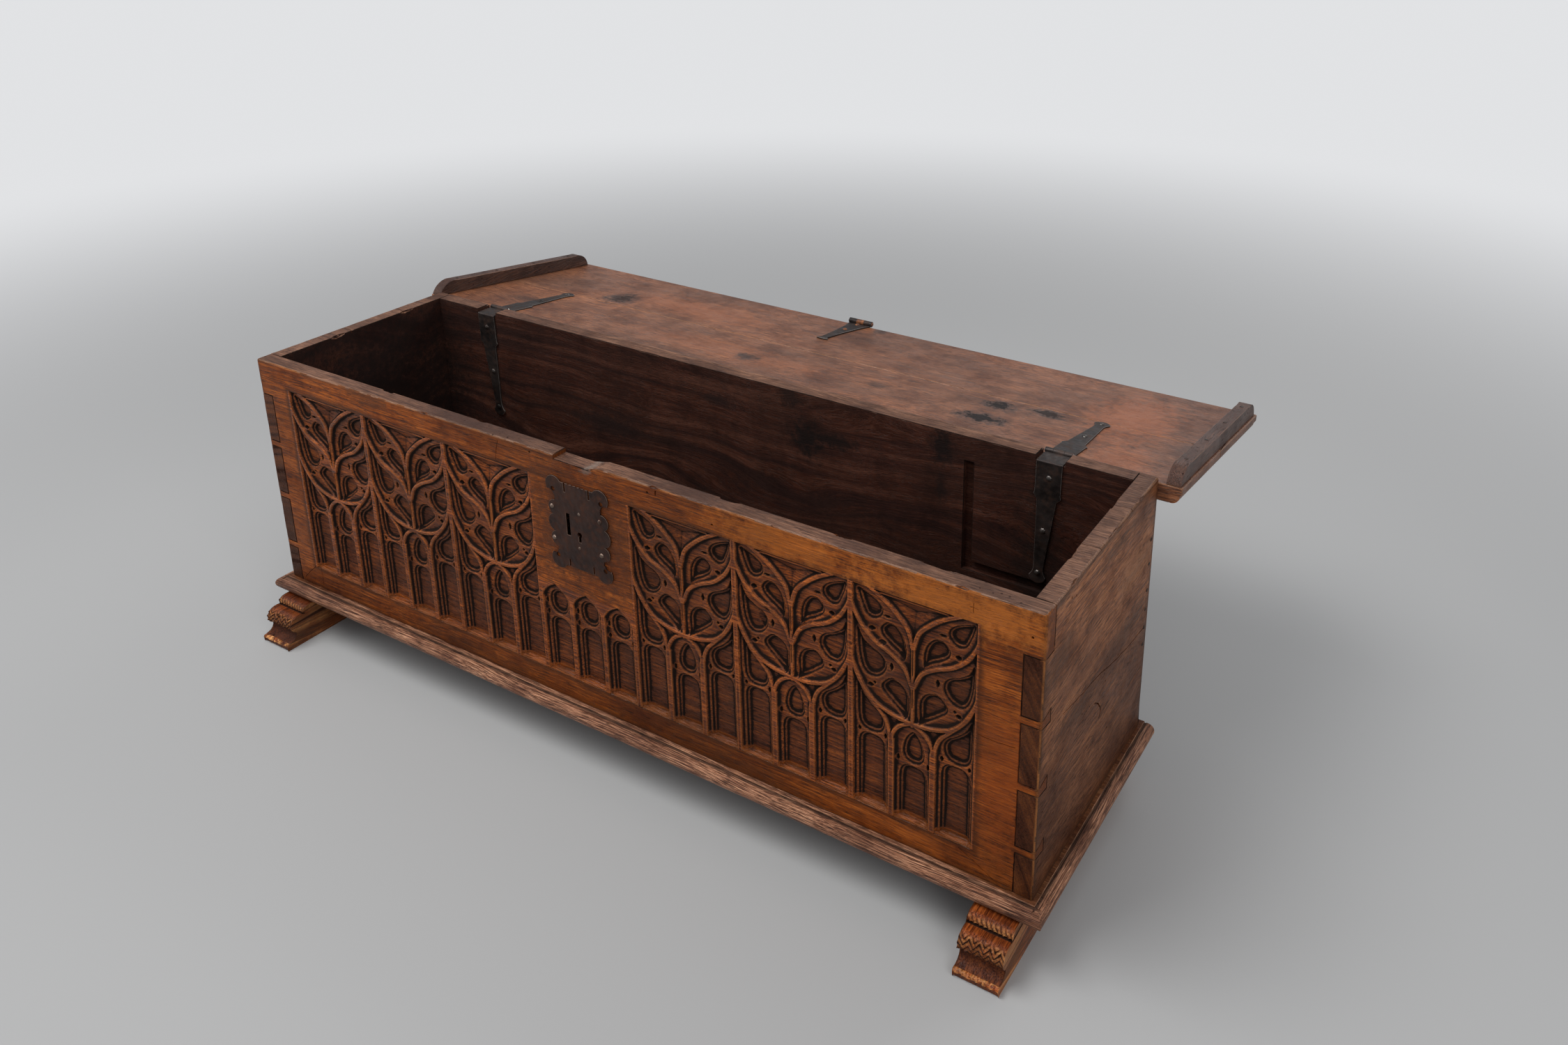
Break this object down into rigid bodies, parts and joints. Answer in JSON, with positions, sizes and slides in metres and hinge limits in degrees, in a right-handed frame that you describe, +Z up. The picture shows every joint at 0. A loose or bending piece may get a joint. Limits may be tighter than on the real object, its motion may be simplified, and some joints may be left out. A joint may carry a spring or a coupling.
{
  "type": "coffer chest",
  "caption": "Long wooden coffer chest on sledge runners, with a tracery-carved front, an open plank lid on iron strap hinges, a hanging hasp and a sliding-bolt lock.",
  "frame": {"origin": "on the floor, under the middle of the bounding box of the open chest", "axes": "+X to the right along the chest, +Y from the carved front to the back, +Z up"},
  "size_m": [1.57, 0.9206, 0.5374],
  "materials": {
    "front_wood": "old polished wood, worn highlights and dark recesses",
    "side_wood": "old greyish wood, dull, vertical wear and cracks",
    "inside_wood": "old red-brown wood, dull, scratched",
    "bottom_wood": "old polished wood, worn edges",
    "runner_wood": "worn bare wood",
    "lid_wood": "old red-brown wood with grey stains",
    "hinge_iron": "forged iron, dark, dull",
    "worn_iron": "forged iron, rubbed bright",
    "hasp_iron": "forged iron, rusty brown",
    "plate_iron": "forged iron, brown-black, rubbed",
    "lock_iron": "forged iron, dark",
    "nail_iron": "forged iron nails, dark"
  },
  "bodies": {
    "box": {"front_board": "front_wood", "back_board": "inside_wood", "left_side_board": "side_wood", "right_side_board": "side_wood", "bottom_board_1": "bottom_wood", "bottom_board_2": "bottom_wood", "bottom_board_3": "bottom_wood", "bottom_board_4": "bottom_wood", "bottom_board_5": "bottom_wood", "bottom_corner_patch": "bottom_wood", "left_runner": "runner_wood", "right_runner": "runner_wood", "left_hinge_strap": "hinge_iron", "right_hinge_strap": "hinge_iron", "lock_plate": "plate_iron", "bolt_guides": "lock_iron", "bolt_spring": "lock_iron", "lock_cap": "lock_iron", "lock_rivets": "lock_iron", "strap_nails": "nail_iron", "plate_nails": "nail_iron", "corner_nails": "nail_iron", "wall_nails": "nail_iron", "runner_nails": "nail_iron"},
    "lid": {"lid_back_plank": "lid_wood", "lid_front_plank": "lid_wood", "left_lid_batten": "lid_wood", "right_lid_batten": "lid_wood", "left_lid_leaf": "hinge_iron", "right_lid_leaf": "hinge_iron", "left_hinge_pin": "worn_iron", "right_hinge_pin": "worn_iron", "hasp_strap": "hasp_iron", "hasp_pin": "hasp_iron", "leaf_nails": "nail_iron", "hasp_strap_nails": "nail_iron", "batten_nails": "nail_iron"},
    "hasp": {"hasp": "hasp_iron", "hasp_staple": "hasp_iron"},
    "bolt": {"lock_bolt": "lock_iron"}
  },
  "joints": [
    {"name": "lid_hinge", "type": "hinge", "parent": "box", "child": "lid", "pos_m": [0, 0.02034, 0.5215], "axis": [1, 0, 0], "range_deg": [0, 187.5]},
    {"name": "hasp_hinge", "type": "hinge", "parent": "lid", "child": "hasp", "pos_m": [-0.0275, 0.44525, 0.46496], "axis": [1, 0, 0], "range_deg": [-32, 187.5]},
    {"name": "bolt_slide", "type": "slide", "parent": "box", "child": "bolt", "axis": [-1, 0, 0], "range_m": [0, 0.018]}
  ]
}
